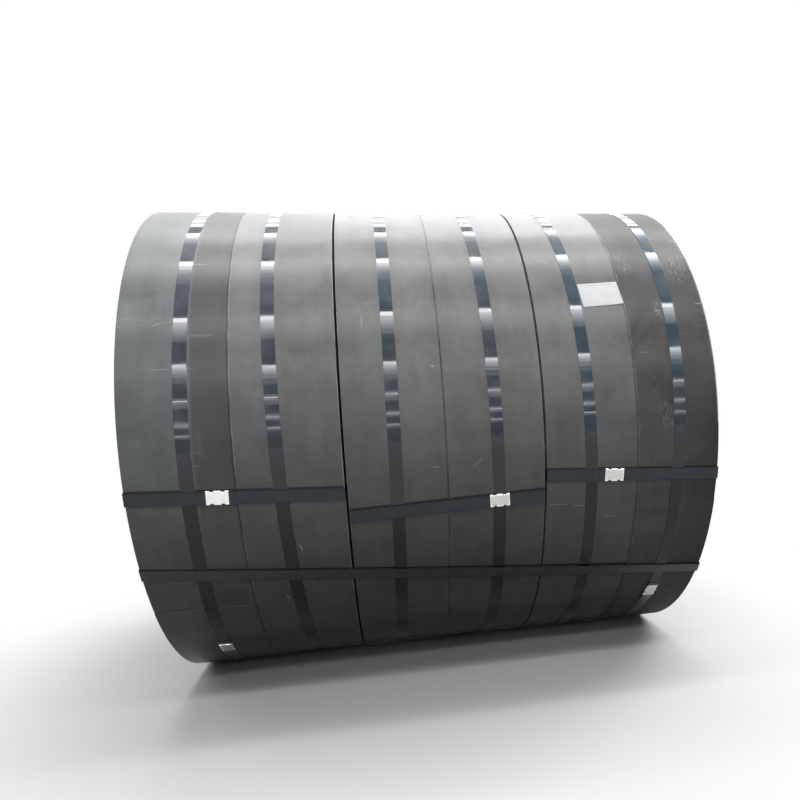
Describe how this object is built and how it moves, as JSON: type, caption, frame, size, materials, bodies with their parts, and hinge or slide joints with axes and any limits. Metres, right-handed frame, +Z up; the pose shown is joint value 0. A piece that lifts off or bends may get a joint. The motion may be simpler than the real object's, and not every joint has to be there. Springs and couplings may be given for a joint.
{
  "type": "slit steel coil lot",
  "caption": "Lot of narrow slit steel coils lying on one level axis, strapped round and through the eye in pairs and once as a lot.",
  "frame": {"origin": "on the floor, under the middle of the lot", "axes": "+X along the coils' common axis, to the right as seen from the front; -Y to the front, where the pair seals are; +Z up"},
  "size_m": [1.4626, 1.3994, 1.4009],
  "materials": {
    "coil_steel": "matte mill finish",
    "strap_steel": "blued and waxed",
    "seal_steel": "galvanised",
    "label_paper": "matte"
  },
  "bodies": {
    "root": {"slit_coil_1": "coil_steel", "slit_coil_2": "coil_steel", "slit_coil_3": "coil_steel", "slit_coil_4": "coil_steel", "slit_coil_5": "coil_steel", "slit_coil_6": "coil_steel", "girth_strap_1": "strap_steel", "girth_strap_2": "strap_steel", "girth_strap_3": "strap_steel", "girth_strap_4": "strap_steel", "girth_strap_5": "strap_steel", "girth_strap_6": "strap_steel", "pair_strap_1": "strap_steel", "pair_strap_2": "strap_steel", "pair_strap_3": "strap_steel", "lot_strap": "strap_steel", "girth_seal_1": "seal_steel", "girth_seal_2": "seal_steel", "girth_seal_3": "seal_steel", "girth_seal_4": "seal_steel", "girth_seal_5": "seal_steel", "girth_seal_6": "seal_steel", "pair_seal_1": "seal_steel", "pair_seal_2": "seal_steel", "pair_seal_3": "seal_steel", "lot_seal": "seal_steel", "paper_label": "label_paper"}
  },
  "joints": []
}
